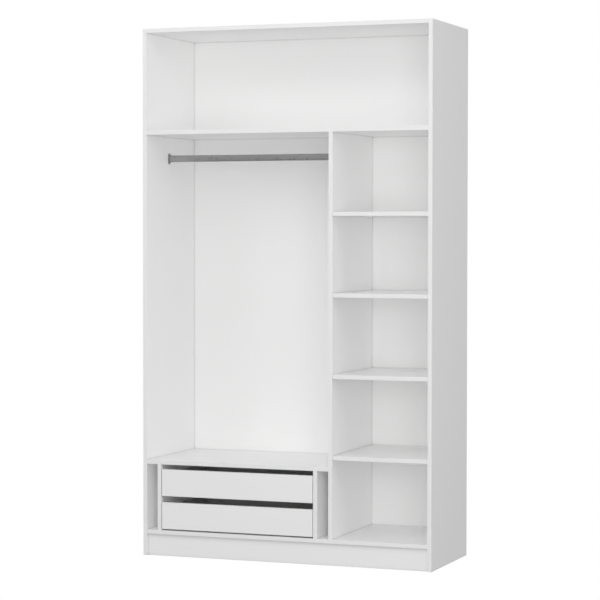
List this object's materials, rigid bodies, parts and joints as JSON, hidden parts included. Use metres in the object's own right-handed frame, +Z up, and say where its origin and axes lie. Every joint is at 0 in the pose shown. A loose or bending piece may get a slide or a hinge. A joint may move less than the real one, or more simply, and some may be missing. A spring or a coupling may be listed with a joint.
{
  "type": "wardrobe",
  "caption": "Tall open-fronted white wardrobe with a top compartment, a hanging space with an oval rail, a shelf column and inset sliding drawers without handles.",
  "frame": {"origin": "on the floor under the middle of the wardrobe", "axes": "+Z up, +X to the right seen from the front, front towards -Y"},
  "size_m": [1.35, 0.528, 2.38],
  "materials": {
    "white_board": "satin white melamine on chipboard",
    "edge_band": "satin",
    "back_board": "white lacquered hardboard",
    "drawer_board": "satin grey foil",
    "rail_metal": "satin",
    "socket_metal": "satin",
    "slide_steel": "zinc plated",
    "dowel_wood": "raw beech",
    "cam_zinc": "die-cast zinc",
    "fitting_steel": "nickel plated",
    "pin_plastic": "milky white",
    "screw_steel": "zinc plated",
    "nail_steel": "bright",
    "bracket_metal": "white powder coat"
  },
  "bodies": {
    "carcass": {"back_nails": "nail_steel", "back_panel_left": "back_board", "back_panel_right": "back_board", "back_panel_top": "back_board", "bottom_panel": "white_board", "cam_bolts": "fitting_steel", "cam_locks": "cam_zinc", "carcass_screws": "screw_steel", "centre_divider": "white_board", "confirmat_screws": "screw_steel", "drawer_partition_left": "white_board", "drawer_partition_right": "white_board", "drawer_unit_top": "white_board", "fixed_shelf": "white_board", "front_edge_bands": "edge_band", "hanging_rail": "rail_metal", "lower_slide_outer_left": "slide_steel", "lower_slide_outer_right": "slide_steel", "plinth_cross_rail": "white_board", "plinth_front": "white_board", "plinth_rear": "white_board", "rail_socket_left": "socket_metal", "rail_socket_right": "socket_metal", "shelf_1": "white_board", "shelf_2": "white_board", "shelf_3": "white_board", "shelf_4": "white_board", "shelf_pins": "pin_plastic", "side_panel_left": "white_board", "side_panel_right": "white_board", "top_panel": "white_board", "upper_slide_outer_left": "slide_steel", "upper_slide_outer_right": "slide_steel", "wall_bracket_left": "bracket_metal", "wall_bracket_right": "bracket_metal", "wood_dowels": "dowel_wood"},
    "lower_slide_middle": {"lower_slide_middle_left": "slide_steel", "lower_slide_middle_right": "slide_steel"},
    "lower_drawer": {"lower_drawer_back": "drawer_board", "lower_drawer_bottom": "back_board", "lower_drawer_dowels": "dowel_wood", "lower_drawer_front": "white_board", "lower_drawer_screws": "screw_steel", "lower_drawer_side_left": "drawer_board", "lower_drawer_side_right": "drawer_board", "lower_slide_inner_left": "slide_steel", "lower_slide_inner_right": "slide_steel"},
    "upper_slide_middle": {"upper_slide_middle_left": "slide_steel", "upper_slide_middle_right": "slide_steel"},
    "upper_drawer": {"upper_drawer_back": "drawer_board", "upper_drawer_bottom": "back_board", "upper_drawer_dowels": "dowel_wood", "upper_drawer_front": "white_board", "upper_drawer_screws": "screw_steel", "upper_drawer_side_left": "drawer_board", "upper_drawer_side_right": "drawer_board", "upper_slide_inner_left": "slide_steel", "upper_slide_inner_right": "slide_steel"}
  },
  "joints": [
    {"name": "lower_drawer_slide", "type": "slide", "parent": "carcass", "child": "lower_drawer", "axis": [0, -1, 0], "range_m": [0, 0.44]},
    {"name": "lower_middle_slide", "type": "slide", "parent": "carcass", "child": "lower_slide_middle", "axis": [0, -1, 0], "range_m": [0, 0.22]},
    {"name": "upper_drawer_slide", "type": "slide", "parent": "carcass", "child": "upper_drawer", "axis": [0, -1, 0], "range_m": [0, 0.44]},
    {"name": "upper_middle_slide", "type": "slide", "parent": "carcass", "child": "upper_slide_middle", "axis": [0, -1, 0], "range_m": [0, 0.22]}
  ],
  "couplings": [
    {"joint": "lower_middle_slide", "follows": "lower_drawer_slide", "ratio": 0.5},
    {"joint": "upper_middle_slide", "follows": "upper_drawer_slide", "ratio": 0.5}
  ]
}
